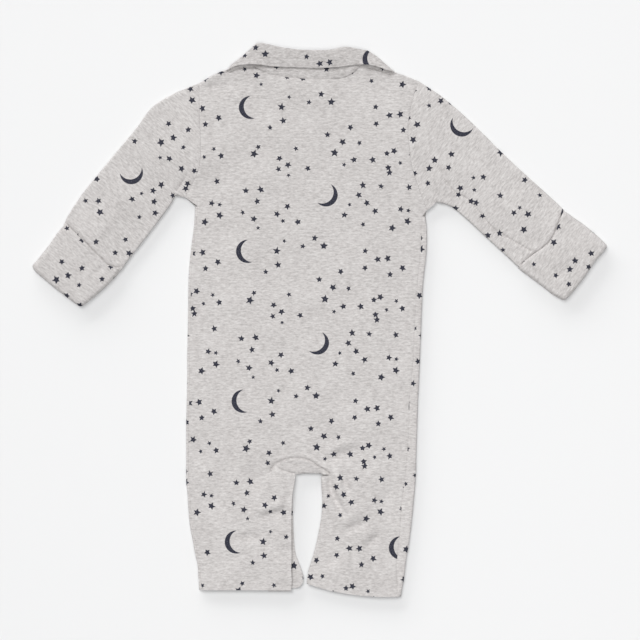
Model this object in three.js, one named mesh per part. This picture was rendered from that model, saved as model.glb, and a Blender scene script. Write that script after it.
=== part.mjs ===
// Footless sleepsuit for a baby, lying face down and seen from its back.
// Millimetres, +Z up, +Y towards the collar, +X to the right. The origin is the
// middle of the footprint, on the surface that the garment lies on.
// Cotton interlock, one wall thick: two fronts below, the back on top of them,
// long sleeves, turned-back mitten cuffs, a folded collar, a crotch gusset, and
// a press-stud placket down the inside of the leg at -X.
import * as THREE from 'three';

// Driving sizes.
const WALL = 1.2; // interlock with its pressed seams
const SEAM = 0.3; // gap between two sewn pieces
const EDGE = 3.3; // height over a folded edge: two walls and the air between
const CROWN = 2.4; // how far the middle of a panel stands above its edges
const CROWN_REACH = 50; // inset at which the crown is full
const CURL = EDGE / 2; // outer radius of a folded edge
const AIR = 0.4; // of the air between the walls, what the deepest crease may press out
const CURL_STEPS = 4; // flats round a folded edge

const clamp01 = (t) => Math.min(1, Math.max(0, t));
const smooth = (t) => clamp01(t) ** 2 * (3 - 2 * clamp01(t));
const mix = (a, b, t) => a + (b - a) * t;
const mixPoint = (a, b, t) => [mix(a[0], b[0], t), mix(a[1], b[1], t)];

// ---------------------------------------------------------------- tables

// Armhole seams. 'down' is the share of the way from the shoulder point to the
// underarm point, 'bow' is how far the seam bows in towards the neck there.
const ARMHOLES = {
  left: {
    shoulder: [-121, 237],
    underarm: [-135, 123],
    rows: [
      { down: 0, bow: 0 },
      { down: 0.1, bow: 1.6 },
      { down: 0.2, bow: 3.1 },
      { down: 0.35, bow: 5.6 },
      { down: 0.5, bow: 8.5 },
      { down: 0.65, bow: 10.6 },
      { down: 0.77, bow: 9.8 },
      { down: 0.88, bow: 5.8 },
      { down: 1, bow: 0 },
    ],
  },
  right: {
    shoulder: [99, 239],
    underarm: [107, 110],
    rows: [
      { down: 0, bow: 0 },
      { down: 0.1, bow: 5.5 },
      { down: 0.2, bow: 9.8 },
      { down: 0.35, bow: 13.8 },
      { down: 0.5, bow: 14 },
      { down: 0.65, bow: 12.6 },
      { down: 0.77, bow: 9 },
      { down: 0.88, bow: 4.6 },
      { down: 1, bow: 0 },
    ],
  },
};

// Body from the underarms to the crotch, one row for each section. 'wrap' is how
// far the front comes round the +X edge on to the back.
const TORSO = [
  { left: [-125, 114], right: [105.5, 104], wrap: 3 },
  { left: [-126, 96], right: [107, 90], wrap: 5.5 },
  { left: [-129, 72], right: [106.5, 66], wrap: 6 },
  { left: [-131.5, 44], right: [103.5, 40], wrap: 5.5 },
  { left: [-132, 14], right: [102, 12], wrap: 6 },
  { left: [-132.5, -14], right: [101, -14], wrap: 6.5 },
  { left: [-133, -40], right: [100, -40], wrap: 6.5 },
  { left: [-133, -62], right: [99, -62], wrap: 7.5 },
  { left: [-133.5, -84], right: [98, -84], wrap: 8.5 },
  { left: [-134, -106], right: [97.3, -106], wrap: 8 },
  { left: [-134, -124], right: [96.7, -124], wrap: 8.5 },
  { left: [-134, -138], right: [96.3, -138], wrap: 9.5 },
];
const LEFT_WRAP = 2.5; // the front comes round the -X edge this far

// Leg at -X, with the placket. 'inner' is the edge of the back, 'flap' is the
// inner edge of the front under it, which shows past the back near the hem.
const PLACKET_LEG = [
  { outer: [-134, -139.2], inner: [-33.3, -139.2], flap: [-10.8, -139.2] },
  { outer: [-134, -141.7], inner: [-40, -141.7], flap: [-10.9, -141.7] },
  { outer: [-134, -145.3], inner: [-44.2, -145.3], flap: [-11, -145.3] },
  { outer: [-134, -149.2], inner: [-40, -149.2], flap: [-11.1, -149.2] },
  { outer: [-134, -151.7], inner: [-33.3, -151.7], flap: [-11.2, -151.7] },
  { outer: [-134, -154], inner: [-24.5, -154], flap: [-24.3, -154] },
  { outer: [-134, -162], inner: [-25.5, -162], flap: [-25.3, -162] },
  { outer: [-132.7, -174], inner: [-27.5, -174], flap: [-27.2, -174] },
  { outer: [-132, -186], inner: [-28.3, -186], flap: [-27.4, -186] },
  { outer: [-131.2, -198], inner: [-28.6, -198], flap: [-27, -198] },
  { outer: [-129.7, -210], inner: [-28.6, -210], flap: [-26.7, -210] },
  { outer: [-127.3, -222], inner: [-28.6, -222], flap: [-26, -222] },
  { outer: [-125.2, -234], inner: [-28.6, -234], flap: [-24.5, -234] },
  { outer: [-122.6, -246], inner: [-28.6, -246], flap: [-20.3, -246] },
  { outer: [-121.8, -258], inner: [-28.6, -258], flap: [-16.5, -258] },
  { outer: [-121.3, -265], inner: [-28.7, -265], flap: [-19, -265] },
  { outer: [-121, -270.5], inner: [-29, -270.5], flap: [-28, -268.4] },
];

// Leg at +X, a closed tube whose inner edge is a plain fold. 'sag' is how far
// the middle of the row drops below a straight line.
const PLAIN_LEG = [
  { outer: [96.3, -140], inner: [-16.7, -138.7], front: [-10.5, -139.2], wrap: 9.5, sag: 0 },
  { outer: [96.2, -143], inner: [-8.3, -141.7], front: [-10.6, -141.7], wrap: 9.7, sag: 0 },
  { outer: [96.2, -147], inner: [-1.7, -146.7], front: [-10.7, -145.3], wrap: 9.8, sag: 0 },
  { outer: [96.1, -151], inner: [5, -150], front: [-10.8, -149.2], wrap: 10, sag: 0 },
  { outer: [96, -155], inner: [10.8, -155], front: [-10.9, -151.6], wrap: 10.2, sag: 0 },
  { outer: [95.8, -158], inner: [1, -156.6], front: [1.8, -153.4], wrap: 10.4, sag: 0 },
  { outer: [95.5, -162], inner: [1.2, -160.5], front: [3.2, -158.5], wrap: 10.7, sag: 0 },
  { outer: [95, -168], inner: [1.5, -166], front: [3.3, -166], wrap: 11, sag: 0 },
  { outer: [93.6, -184], inner: [2.4, -182], front: [4.2, -182], wrap: 11.5, sag: 0 },
  { outer: [92, -200], inner: [1.2, -198], front: [3.1, -198], wrap: 11.3, sag: 0 },
  { outer: [90.5, -213], inner: [-1.2, -212], front: [0.7, -212], wrap: 10.5, sag: 0 },
  { outer: [88.6, -227], inner: [-4.2, -226], front: [-2.3, -226], wrap: 10, sag: -0.5 },
  { outer: [86.2, -241], inner: [-7.8, -239], front: [-5.9, -239], wrap: 9, sag: -1.5 },
  { outer: [84.5, -256], inner: [-11.5, -251], front: [-9.6, -251], wrap: 7.5, sag: -2.5 },
  { outer: [82.5, -268], inner: [-12.8, -259], front: [-10.9, -259], wrap: 5, sag: -3.5 },
  { outer: [81, -277], inner: [-13.2, -264.2], front: [-11.3, -264.5], wrap: 3.5, sag: -4 },
];
const CROTCH = [-25, -138]; // top of the notch that takes the gusset

// Shoulders and back neck, which also set the columns of the back.
const BACK_TOP = [
  [-121, 237], [-111, 243], [-102, 247.6], [-97, 249.3], [-85, 253.2], [-72, 259.5],
  [-66, 254], [-58, 249.5], [-45, 245], [-35, 243], [-29, 242.2], [-25, 241.8],
  [-23.2, 241.7], [-12, 241.1], [0, 241], [20, 242], [32, 247], [40, 254], [46, 260],
  [58, 254.8], [70, 249.6], [76.5, 246.9], [82, 245.4], [88, 243.4], [99, 239],
];
const SPLIT = 11; // this column of the back runs down to the crotch notch
const PLACKET_COLUMN = 8; // the facing takes the columns from here to SPLIT
const TOP_FADE = 0.6; // share of the armhole over which rows straighten

// The fronts' top edges: shoulder, then along the collar to the middle.
const FRONT_TOP = {
  left: [[-121, 235.2], [-110, 240.8], [-99, 246], [-92.6, 247.8], [-72, 222.8],
    [-50.6, 196.2], [-25, 204.6], [-0.15, 212.8]],
  right: [[0.15, 212.8], [24, 203.2], [46.6, 194], [60, 217.6], [75.2, 243], [80, 242.8],
    [98.2, 236.9]],
};

// Crotch gusset, a lens whose lower edge is folded under.
const GUSSET = [
  { x: -43.2, top: -145.0, bottom: -145.9 },
  { x: -40, top: -142.15, bottom: -148.75 },
  { x: -33.3, top: -139.6, bottom: -151.3 },
  { x: -25, top: -138.4, bottom: -153.4 },
  { x: -16.7, top: -139.1, bottom: -153.7 },
  { x: -8.3, top: -142.15, bottom: -153.7 },
  { x: -1.7, top: -147.15, bottom: -153.7 },
  { x: 5, top: -150.5, bottom: -154.7 },
  { x: 9.4, top: -154.3, bottom: -154.75 },
];

// Sleeves, one row for each section from the armhole to the wrist, by its upper
// and its lower fold. 'tuck' narrows the end that goes inside the mitten cuff.
const SLEEVES = {
  left: [
    { upper: [-144, 228], lower: [-145, 124.5], tuck: 0 },
    { upper: [-168, 213], lower: [-149, 117], tuck: 0 },
    { upper: [-184, 192], lower: [-156, 107], tuck: 0 },
    { upper: [-204, 168], lower: [-168, 91], tuck: 0 },
    { upper: [-223, 145], lower: [-181, 74], tuck: 0 },
    { upper: [-236, 129], lower: [-189, 64], tuck: 0 },
    { upper: [-245, 116], lower: [-195, 56], tuck: 0 },
    { upper: [-254, 101.5], lower: [-199, 50], tuck: 2.8 },
    { upper: [-270, 77], lower: [-221, 28.5], tuck: 2.8 },
    { upper: [-286.2, 56.4], lower: [-234.9, 17.2], tuck: 2.8 },
  ],
  right: [
    { upper: [122, 224], lower: [117, 118], tuck: 0 },
    { upper: [142, 207], lower: [130, 114.5], tuck: 0 },
    { upper: [164, 186], lower: [146, 102], tuck: 0 },
    { upper: [185, 165], lower: [161, 88], tuck: 0 },
    { upper: [206, 145.5], lower: [174, 76], tuck: 0 },
    { upper: [220, 133], lower: [184, 67], tuck: 0 },
    { upper: [232, 122], lower: [192, 59.5], tuck: 0 },
    { upper: [242, 112.5], lower: [198, 54], tuck: 2.8 },
    { upper: [266, 94.5], lower: [223, 34.5], tuck: 2.8 },
    { upper: [286.6, 75.6], lower: [242.2, 20.8], tuck: 2.8 },
  ],
};

// Mitten cuffs, turned back over the sleeve ends. 'bow' curves the free edge
// towards the wrist.
const MITTS = {
  left: [
    { upper: [-257, 97.5], lower: [-200.8, 47.8], bow: -1 },
    { upper: [-263, 87.5], lower: [-210.5, 38.5], bow: 0 },
    { upper: [-271, 76], lower: [-222, 27], bow: 0 },
    { upper: [-281, 63], lower: [-232, 19], bow: 0 },
    { upper: [-288, 55], lower: [-236, 15], bow: 0 },
  ],
  right: [
    { upper: [244.5, 110.2], lower: [198.8, 51.6], bow: 9 },
    { upper: [254, 103], lower: [211, 42.5], bow: 6 },
    { upper: [266, 94.5], lower: [223, 33.5], bow: 3 },
    { upper: [278, 84.5], lower: [235, 24.5], bow: 1 },
    { upper: [288, 74.5], lower: [243, 19], bow: 0 },
  ],
};
const MITT_WALL = 1.5; // turned back, so doubled and pressed
const MITT_HEIGHT = EDGE + SEAM + MITT_WALL;
const MITT_CURL = 4; // how far its side takes to come up over the sleeve

// Collar over the back neck. The fall comes from the roll line down over the
// stand, whose base is sewn to the neck; 'stand_z' is the middle of the stand.
const COLLAR = [
  { roll: [-64, 277], fall: [-93.5, 252.6], base: [-70, 263.5], stand_z: 3.6 },
  { roll: [-60, 277], fall: [-82, 254.6], base: [-66, 254.5], stand_z: 3.9 },
  { roll: [-54, 276.3], fall: [-68, 255.6], base: [-58, 250], stand_z: 4.35 },
  { roll: [-42, 273.8], fall: [-46, 253.6], base: [-45, 245.5], stand_z: 4.6 },
  { roll: [-22, 270.3], fall: [-22, 252.4], base: [-23, 242.15], stand_z: 4.7 },
  { roll: [0, 270], fall: [0, 252], base: [0, 241.5], stand_z: 4.7 },
  { roll: [16, 271.6], fall: [20, 253], base: [20, 242.5], stand_z: 4.6 },
  { roll: [27, 273], fall: [34, 255.2], base: [32, 247.5], stand_z: 4.55 },
  { roll: [37, 272], fall: [48, 255.2], base: [40, 254.5], stand_z: 4.4 },
  { roll: [44, 270.8], fall: [63, 251.6], base: [45.6, 260.6], stand_z: 4 },
  { roll: [49, 269.5], fall: [75.2, 249.3], base: [49, 263], stand_z: 3.6 },
];
// Its hidden ends on the fronts, from the folds beside the neck.
const COLLAR_ENDS = {
  left: { roll: [-3, 213.5], point: [-50, 197] },
  right: { roll: [3, 213.5], point: [46, 194.8] },
};

// Press studs of the inside leg, between the two edges that they close.
const STUD_COUNT = 3;
const STUD_FIRST = [-34, -252];
const STUD_PITCH = 36;
const STUD_RADIUS = 4.5;
const STUD_THICK = 1;
const STUD_RISE = 1.2; // the cloth stands over each by this much
const PLACKET_RISE = 0.9; // and over the facing by this much
const FACING = 1; // wall of the facing strip

// Largest creases, soft troughs (rise < 0) and ridges. 'turn' is in degrees from
// +X, 'long' and 'wide' are the whole length and the half width.
const CREASES = [
  { at: [14, -176], long: 52, turn: -58, wide: 8, rise: -1.1 },
  { at: [27, -168], long: 96, turn: 84, wide: 20, rise: -0.8 },
  { at: [21, -131], long: 46, turn: 24, wide: 6, rise: -0.8 },
  { at: [50, -221], long: 46, turn: 40, wide: 8, rise: 0.8 },
  { at: [-44, -186], long: 40, turn: 22, wide: 5, rise: -0.8 },
  { at: [-68, -215], long: 46, turn: -12, wide: 8, rise: -0.6 },
  { at: [-20, -106], long: 34, turn: -10, wide: 6, rise: -0.5 },
  { at: [-141, 138], long: 44, turn: 62, wide: 7, rise: -0.8 },
  { at: [-131, 134], long: 30, turn: 70, wide: 6, rise: -0.7 },
  { at: [105, 146], long: 50, turn: -60, wide: 8, rise: -0.6 },
  { at: [-60, 120], long: 120, turn: 80, wide: 26, rise: 0.5 },
  { at: [40, 60], long: 150, turn: 96, wide: 28, rise: 0.5 },
  { at: [-70, -60], long: 130, turn: 92, wide: 24, rise: 0.4 },
  { at: [-214, 100], long: 70, turn: 52, wide: 12, rise: 0.5 },
  { at: [190, 108], long: 80, turn: -44, wide: 12, rise: 0.5 },
];

// ---------------------------------------------------------------- heights

// Point at share 'down' of an armhole, or 'out' mm outside its seam.
function armholePoint(side, down, out = 0) {
  const { shoulder, underarm, rows } = ARMHOLES[side];
  const next = Math.max(1, rows.findIndex((row) => row.down >= down - 1e-9));
  const [a, b] = [rows[next - 1], rows[next]];
  const bow = mix(a.bow, b.bow, (down - a.down) / (b.down - a.down));
  const [x, y] = mixPoint(shoulder, underarm, down);
  const inward = side === 'left' ? 1 : -1;
  return [x + inward * (bow - out), y];
}

const tuckPoint = (from, to, tuck) => {
  const length = Math.hypot(to[0] - from[0], to[1] - from[1]);
  return mixPoint(from, to, tuck / length);
};
const sleeveUpper = (row) => tuckPoint(row.upper, row.lower, row.tuck);
const sleeveLower = (row) => tuckPoint(row.lower, row.upper, row.tuck);

// Folded edges, over which the cloth curls down.
const FOLDS = [];
for (const side of ['left', 'right']) {
  const { shoulder } = ARMHOLES[side];
  const top = side === 'left' ? BACK_TOP.slice(1, 3).reverse() : BACK_TOP.slice(-2, -1);
  const leg = side === 'left' ? PLACKET_LEG : PLAIN_LEG;
  FOLDS.push([...top, shoulder, ...SLEEVES[side].map(sleeveUpper)]);
  FOLDS.push(SLEEVES[side].map(sleeveLower));
  FOLDS.push([...TORSO.map((row) => row[side]), ...leg.map((row) => row.outer)]);
}
const CROTCH_FOLD = [[-22, -153.55], [0.5, -153.9]];
FOLDS.push(CROTCH_FOLD);
FOLDS.push(PLAIN_LEG.slice(6).map((row) => row.inner));

// Free edges, where the crown ends but nothing curls.
const FREE = [
  BACK_TOP.slice(0, 6),
  BACK_TOP.slice(-6),
  PLACKET_LEG.slice(5).map((row) => row.inner),
  [PLACKET_LEG.at(-1).outer, PLACKET_LEG.at(-1).inner],
  [PLAIN_LEG.at(-1).outer, PLAIN_LEG.at(-1).inner],
];
for (const side of ['left', 'right']) {
  const wrist = SLEEVES[side].at(-1);
  FREE.push([wrist.upper, wrist.lower]);
}

function distanceTo(lines, x, y) {
  let nearest = Infinity;
  for (const line of lines) {
    for (let i = 1; i < line.length; i += 1) {
      const [a, b] = [line[i - 1], line[i]];
      const [dx, dy] = [b[0] - a[0], b[1] - a[1]];
      const t = clamp01(((x - a[0]) * dx + (y - a[1]) * dy) / (dx * dx + dy * dy));
      nearest = Math.min(nearest, Math.hypot(x - a[0] - dx * t, y - a[1] - dy * t));
    }
  }
  return nearest;
}

function creaseRise(x, y) {
  let rise = 0;
  for (const crease of CREASES) {
    const turn = (crease.turn * Math.PI) / 180;
    const [dx, dy] = [x - crease.at[0], y - crease.at[1]];
    const along = (dx * Math.cos(turn) + dy * Math.sin(turn)) / (crease.long / 2);
    const across = (dy * Math.cos(turn) - dx * Math.sin(turn)) / crease.wide;
    rise += crease.rise * Math.exp(-across * across) * (1 - smooth(Math.abs(along)));
  }
  return rise;
}

const STUDS = Array.from({ length: STUD_COUNT }, (_, i) => [
  STUD_FIRST[0],
  STUD_FIRST[1] + i * STUD_PITCH,
]);

// Rise of the back over the facing and the studs of the placket.
function placketRise(x, y) {
  const edge = PLACKET_LEG[8].inner[0];
  const across = 1 - smooth((edge - x - 26) / 20);
  const down = smooth((PLACKET_LEG[5].inner[1] - 2 - y) / 6);
  const beyond = x > -12 ? 0 : 1;
  let stud = 0;
  for (const [sx, sy] of STUDS) {
    const off = Math.max(Math.abs(x - sx), Math.abs(y - sy));
    stud = Math.max(stud, 1 - smooth((off - 6.2) / 8));
  }
  return beyond * across * down * (PLACKET_RISE + STUD_RISE * stud);
}

// Height of the cloth's upper face over the surface that it lies on.
function height(x, y) {
  const fold = distanceTo(FOLDS, x, y);
  const inset = Math.min(fold, distanceTo(FREE, x, y));
  const curl = Math.min(fold, CURL);
  const rounded = CURL + Math.sqrt(CURL ** 2 - (CURL - curl) ** 2);
  const crease = creaseRise(x, y) * smooth((inset - CURL) / 10);
  const raised = rounded + CROWN * smooth(inset / CROWN_REACH) + crease;
  return Math.max(raised, Math.min(rounded, EDGE - AIR)) + placketRise(x, y);
}

// ---------------------------------------------------------------- cloth

// A sheet with an outer and an inner face. Every edge that only one face uses is
// closed by a rim, so any sheet becomes one closed solid.
class Cloth {
  constructor() {
    this.outer = [];
    this.inner = [];
    this.faces = [];
  }

  point(outer, inner) {
    this.outer.push(outer);
    this.inner.push(inner);
    return this.outer.length - 1;
  }

  // Cloth that lies flat: the wall is measured straight down.
  laid(x, y, top, wall = WALL) {
    return this.point([x, y, top], [x, y, top - wall]);
  }

  // Cloth on the surface below, so that its outer face looks down.
  lying(x, y) {
    return this.point([x, y, 0], [x, y, WALL]);
  }

  grid(rows) {
    for (let i = 1; i < rows.length; i += 1) {
      for (let j = 1; j < rows[i].length; j += 1) {
        const [a, b] = [rows[i - 1][j - 1], rows[i - 1][j]];
        const [c, d] = [rows[i][j], rows[i][j - 1]];
        this.faces.push([a, b, c], [a, c, d]);
      }
    }
  }

  geometry() {
    const count = this.outer.length;
    const triangles = [];
    const open = new Map();
    for (const [a, b, c] of this.faces) {
      triangles.push([a, b, c], [a + count, c + count, b + count]);
      for (const [from, to] of [[a, b], [b, c], [c, a]]) {
        if (!open.delete(`${to},${from}`)) open.set(`${from},${to}`, [from, to]);
      }
    }
    for (const [from, to] of open.values()) {
      triangles.push([to, from, from + count], [to, from + count, to + count]);
    }
    const points = [...this.outer, ...this.inner];
    const geometry = new THREE.BufferGeometry();
    geometry.setAttribute('position', new THREE.Float32BufferAttribute(points.flat(), 3));
    const turned = signedVolume(points, triangles) < 0;
    geometry.setIndex(triangles.flatMap(([a, b, c]) => (turned ? [a, c, b] : [a, b, c])));
    geometry.computeVertexNormals();
    return geometry;
  }
}

function signedVolume(points, triangles) {
  let volume = 0;
  for (const [a, b, c] of triangles) {
    const [p, q, r] = [points[a], points[b], points[c]];
    volume += p[0] * (q[1] * r[2] - q[2] * r[1]);
    volume += p[1] * (q[2] * r[0] - q[0] * r[2]);
    volume += p[2] * (q[0] * r[1] - q[1] * r[0]);
  }
  return volume / 6;
}

const COLOURS = {
  jersey: { color: '#cfcbca', roughness: 0.92 },
  collar: { color: '#c7c3c2', roughness: 0.92 },
  stud: { color: '#c9cacc', roughness: 0.35, metalness: 0.9 },
};
const romper = new THREE.Group();

function add(name, geometry, look, position = [0, 0, 0]) {
  const material = new THREE.MeshStandardMaterial({ metalness: 0, ...COLOURS[look] });
  const mesh = new THREE.Mesh(geometry, material);
  mesh.name = name;
  mesh.position.set(...position);
  romper.add(mesh);
}

// ---------------------------------------------------------------- back

const CURL_ROWS = [0.006, 0.015]; // two rows close under the shoulders, to round them
const ARMHOLE_SHARES = [
  0, ...CURL_ROWS, ...ARMHOLES.left.rows.slice(1).map((row) => row.down),
];

// The two ends of each row of the body, from the shoulders to the crotch. At the
// sides they stop 'gap' inside the front, which wraps round on to the back.
function bodyRows(gap) {
  const rows = ARMHOLE_SHARES.map((down) => ({
    left: armholePoint('left', down),
    right: armholePoint('right', down),
    fade: 1 - smooth(down / TOP_FADE),
  }));
  for (const { left, right, wrap } of TORSO) {
    rows.push({
      left: [left[0] + LEFT_WRAP + gap, left[1]],
      right: [right[0] - wrap - gap, right[1]],
      fade: 0,
    });
  }
  return rows;
}

const topShare = (j, from, to) => {
  const [a, b] = [BACK_TOP[from][0], BACK_TOP[to][0]];
  return (BACK_TOP[j][0] - a) / (b - a);
};

// Plan of a row of the back, between two of its columns.
function backRow(start, end, from, to) {
  const columns = BACK_TOP.slice(from, to + 1);
  return columns.map((_, k) => mixPoint(start, end, topShare(from + k, from, to)));
}
const LAST = BACK_TOP.length - 1;
const placketRow = ({ outer, inner }) =>
  backRow([outer[0] + LEFT_WRAP + SEAM, outer[1]], inner, 0, SPLIT);

function makeBack() {
  const cloth = new Cloth();
  const lay = ([x, y]) => cloth.laid(x, y, height(x, y));
  const torso = bodyRows(SEAM).map(({ left, right, fade }) => {
    const share = (CROTCH[0] - left[0]) / (right[0] - left[0]);
    const middle = mixPoint(left, right, share);
    const row = [
      ...backRow(left, middle, 0, SPLIT),
      ...backRow(middle, right, SPLIT, LAST).slice(1),
    ];
    return row.map(([x, y], j) => {
      const straight = mixPoint(BACK_TOP[0], BACK_TOP[LAST], topShare(j, 0, LAST))[1];
      return lay([x, y + (BACK_TOP[j][1] - straight) * fade]);
    });
  });
  cloth.grid(torso);
  const crotchRow = torso.at(-1);
  const placketLeg = PLACKET_LEG.map((row) => placketRow(row).map(lay));
  cloth.grid([crotchRow.slice(0, SPLIT + 1), ...placketLeg]);
  const plainLeg = PLAIN_LEG.map(({ outer, inner, wrap, sag }) =>
    backRow(inner, [outer[0] - wrap - SEAM, outer[1]], SPLIT, LAST).map(([x, y], k) => {
      const share = topShare(SPLIT + k, SPLIT, LAST);
      return lay([x, y + sag * 4 * share * (1 - share)]);
    }));
  cloth.grid([crotchRow.slice(SPLIT), ...plainLeg]);
  return cloth.geometry();
}
add('back', makeBack(), 'jersey');

// ---------------------------------------------------------------- fronts

// Section of a front where it comes round a side edge: half a turn, then flat on
// top until the seam with the back. 'inward' is +1 at the -X side, -1 at the +X.
function wrapRow(cloth, edge, wrap, inward) {
  const centre = edge[0] + inward * CURL;
  const row = [];
  for (let step = 0; step <= CURL_STEPS; step += 1) {
    const angle = -Math.PI / 2 + (Math.PI * step) / CURL_STEPS;
    const [out, up] = [-inward * Math.cos(angle), Math.sin(angle)];
    const reach = CURL - WALL;
    row.push(cloth.point(
      [centre + out * CURL, edge[1], CURL + up * CURL],
      [centre + out * reach, edge[1], CURL + up * reach],
    ));
  }
  const end = edge[0] + inward * wrap;
  for (const share of [0.5, 1]) {
    const x = mix(centre, end, share);
    row.push(cloth.laid(x, edge[1], height(x, edge[1])));
  }
  return row;
}

// Where the two fronts meet, down the middle from the collar to the crotch.
const MEETING = [[0, 212.8], [-11, -152]];
function meetingPoint(side, y) {
  const share = (MEETING[0][1] - y) / (MEETING[0][1] - MEETING[1][1]);
  const off = side === 'left' ? -SEAM / 2 : SEAM / 2;
  return [mix(MEETING[0][0], MEETING[1][0], share) + off, y];
}

function makeFront(side) {
  const cloth = new Cloth();
  const inward = side === 'left' ? 1 : -1;
  const top = side === 'left' ? FRONT_TOP.left : FRONT_TOP.right.toReversed();
  const leg = side === 'left'
    ? PLACKET_LEG.map(({ outer, flap }) => ({ edge: outer, wrap: LEFT_WRAP, inner: flap, sag: 0 }))
    : PLAIN_LEG.map(({ outer, wrap, front, sag }) => ({ edge: outer, wrap, inner: front, sag }));
  const shareOf = (j) => (top[j][0] - top[0][0]) / (top.at(-1)[0] - top[0][0]);
  const flatRow = (start, end, bend) => top.map((_, j) => {
    const [x, y] = mixPoint(start, end, shareOf(j));
    return cloth.lying(x, y + bend(j));
  });
  const levelAt = (down) => mix(armholePoint('left', down)[1], armholePoint('right', down)[1], 0.5);
  const dip = top.map(([, y], j) => (j === 0 ? 0 : y - mix(top[0][1], levelAt(0), shareOf(j))));
  const flat = [top.map(([x, y]) => cloth.lying(x, y))];
  for (const { down } of ARMHOLES.left.rows.slice(1)) {
    const fade = 1 - smooth(down / TOP_FADE);
    const end = [meetingPoint(side, levelAt(down) + dip.at(-1) * fade)[0], levelAt(down)];
    flat.push(flatRow(armholePoint(side, down), end, (j) => dip[j] * fade));
  }
  const sides = TORSO.map((row) => ({
    edge: row[side],
    wrap: side === 'left' ? LEFT_WRAP : row.wrap,
    inner: meetingPoint(side, (row.left[1] + row.right[1]) / 2),
    sag: 0,
  }));
  const wraps = [];
  for (const { edge, wrap, inner, sag } of [...sides, ...leg]) {
    const turn = wrapRow(cloth, edge, wrap, inward);
    const start = [edge[0] + inward * CURL, edge[1]];
    const bend = (j) => sag * 4 * shareOf(j) * (1 - shareOf(j));
    const row = flatRow(start, inner, bend);
    row[0] = turn[0];
    flat.push(row);
    wraps.push(turn.reverse());
  }
  cloth.grid(flat);
  cloth.grid(wraps);
  return cloth.geometry();
}
add('front_left', makeFront('left'), 'jersey');
add('front_right', makeFront('right'), 'jersey');

// ---------------------------------------------------------------- crotch gusset

function makeGusset() {
  const cloth = new Cloth();
  const shares = [0, 0.12, 0.55, 1];
  cloth.grid(GUSSET.map(({ x, top, bottom }) => shares.map((share) => {
    const y = mix(bottom, top, share);
    return cloth.laid(x, y, height(x, y));
  })));
  return cloth.geometry();
}
add('crotch_gusset', makeGusset(), 'jersey');

// ---------------------------------------------------------------- inside-leg placket

// Facing strip under the back's inner edge, from the back's own points moved
// down. It runs a little past the hem.
const FACING_ROWS = PLACKET_LEG.slice(6);
const FACING_PAST_HEM = 1.3;

function makeFacing() {
  const cloth = new Cloth();
  const rows = FACING_ROWS.map((row) => placketRow(row).slice(PLACKET_COLUMN).map(([x, y]) =>
    ({ x, y, top: height(x, y) - WALL - SEAM })));
  rows.push(rows.at(-1).map(({ x, y, top }) => ({ x, y: y - FACING_PAST_HEM, top })));
  cloth.grid(rows.map((row) => row.map(({ x, y, top }) => cloth.laid(x, y, top, FACING))));
  return cloth.geometry();
}
add('placket_facing', makeFacing(), 'jersey');

STUDS.forEach(([x, y], i) => {
  const stud = new THREE.CylinderGeometry(STUD_RADIUS, STUD_RADIUS, STUD_THICK, 20);
  stud.rotateX(Math.PI / 2);
  add(`press_stud_${i + 1}`, stud, 'stud', [x, y, WALL + SEAM + STUD_THICK / 2]);
});

// ---------------------------------------------------------------- sleeves

const INNER_SHARES = ARMHOLES.left.rows.slice(1, -1).map((row) => row.down);

// Closed ring of a flattened tube. 'plan' gives the point at a share of the way
// from the upper fold to the lower one, and 'width' is that whole way.
function sleeveRing(cloth, plan, width) {
  const turn = (flip) => {
    const points = [];
    for (let step = 0; step <= CURL_STEPS; step += 1) {
      const angle = -Math.PI / 2 + (Math.PI * step) / CURL_STEPS;
      const [out, up] = [Math.cos(angle), Math.sin(angle)];
      const place = (radius) => {
        const inset = (CURL - radius * out) / width;
        return [...plan(flip ? 1 - inset : inset), CURL + up * radius];
      };
      points.push(cloth.point(place(CURL), place(CURL - WALL)));
    }
    return flip ? points.reverse() : points;
  };
  const over = INNER_SHARES.map((share) => {
    const [x, y] = plan(share);
    return cloth.laid(x, y, height(x, y));
  });
  const under = INNER_SHARES.toReversed().map((share) => cloth.lying(...plan(share)));
  const ring = [...turn(false), ...over, ...turn(true), ...under];
  return [...ring, ring[0]];
}

function makeSleeve(side) {
  const cloth = new Cloth();
  const { shoulder, underarm } = ARMHOLES[side];
  const seamLength = Math.hypot(shoulder[0] - underarm[0], shoulder[1] - underarm[1]);
  const rings = [sleeveRing(cloth, (share) => armholePoint(side, share, SEAM), seamLength)];
  for (const row of SLEEVES[side]) {
    const [upper, lower] = [sleeveUpper(row), sleeveLower(row)];
    const width = Math.hypot(upper[0] - lower[0], upper[1] - lower[1]);
    rings.push(sleeveRing(cloth, (share) => mixPoint(upper, lower, share), width));
  }
  cloth.grid(rings);
  return cloth.geometry();
}
add('sleeve_left', makeSleeve('left'), 'jersey');
add('sleeve_right', makeSleeve('right'), 'jersey');

// ---------------------------------------------------------------- mitten cuffs

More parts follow.
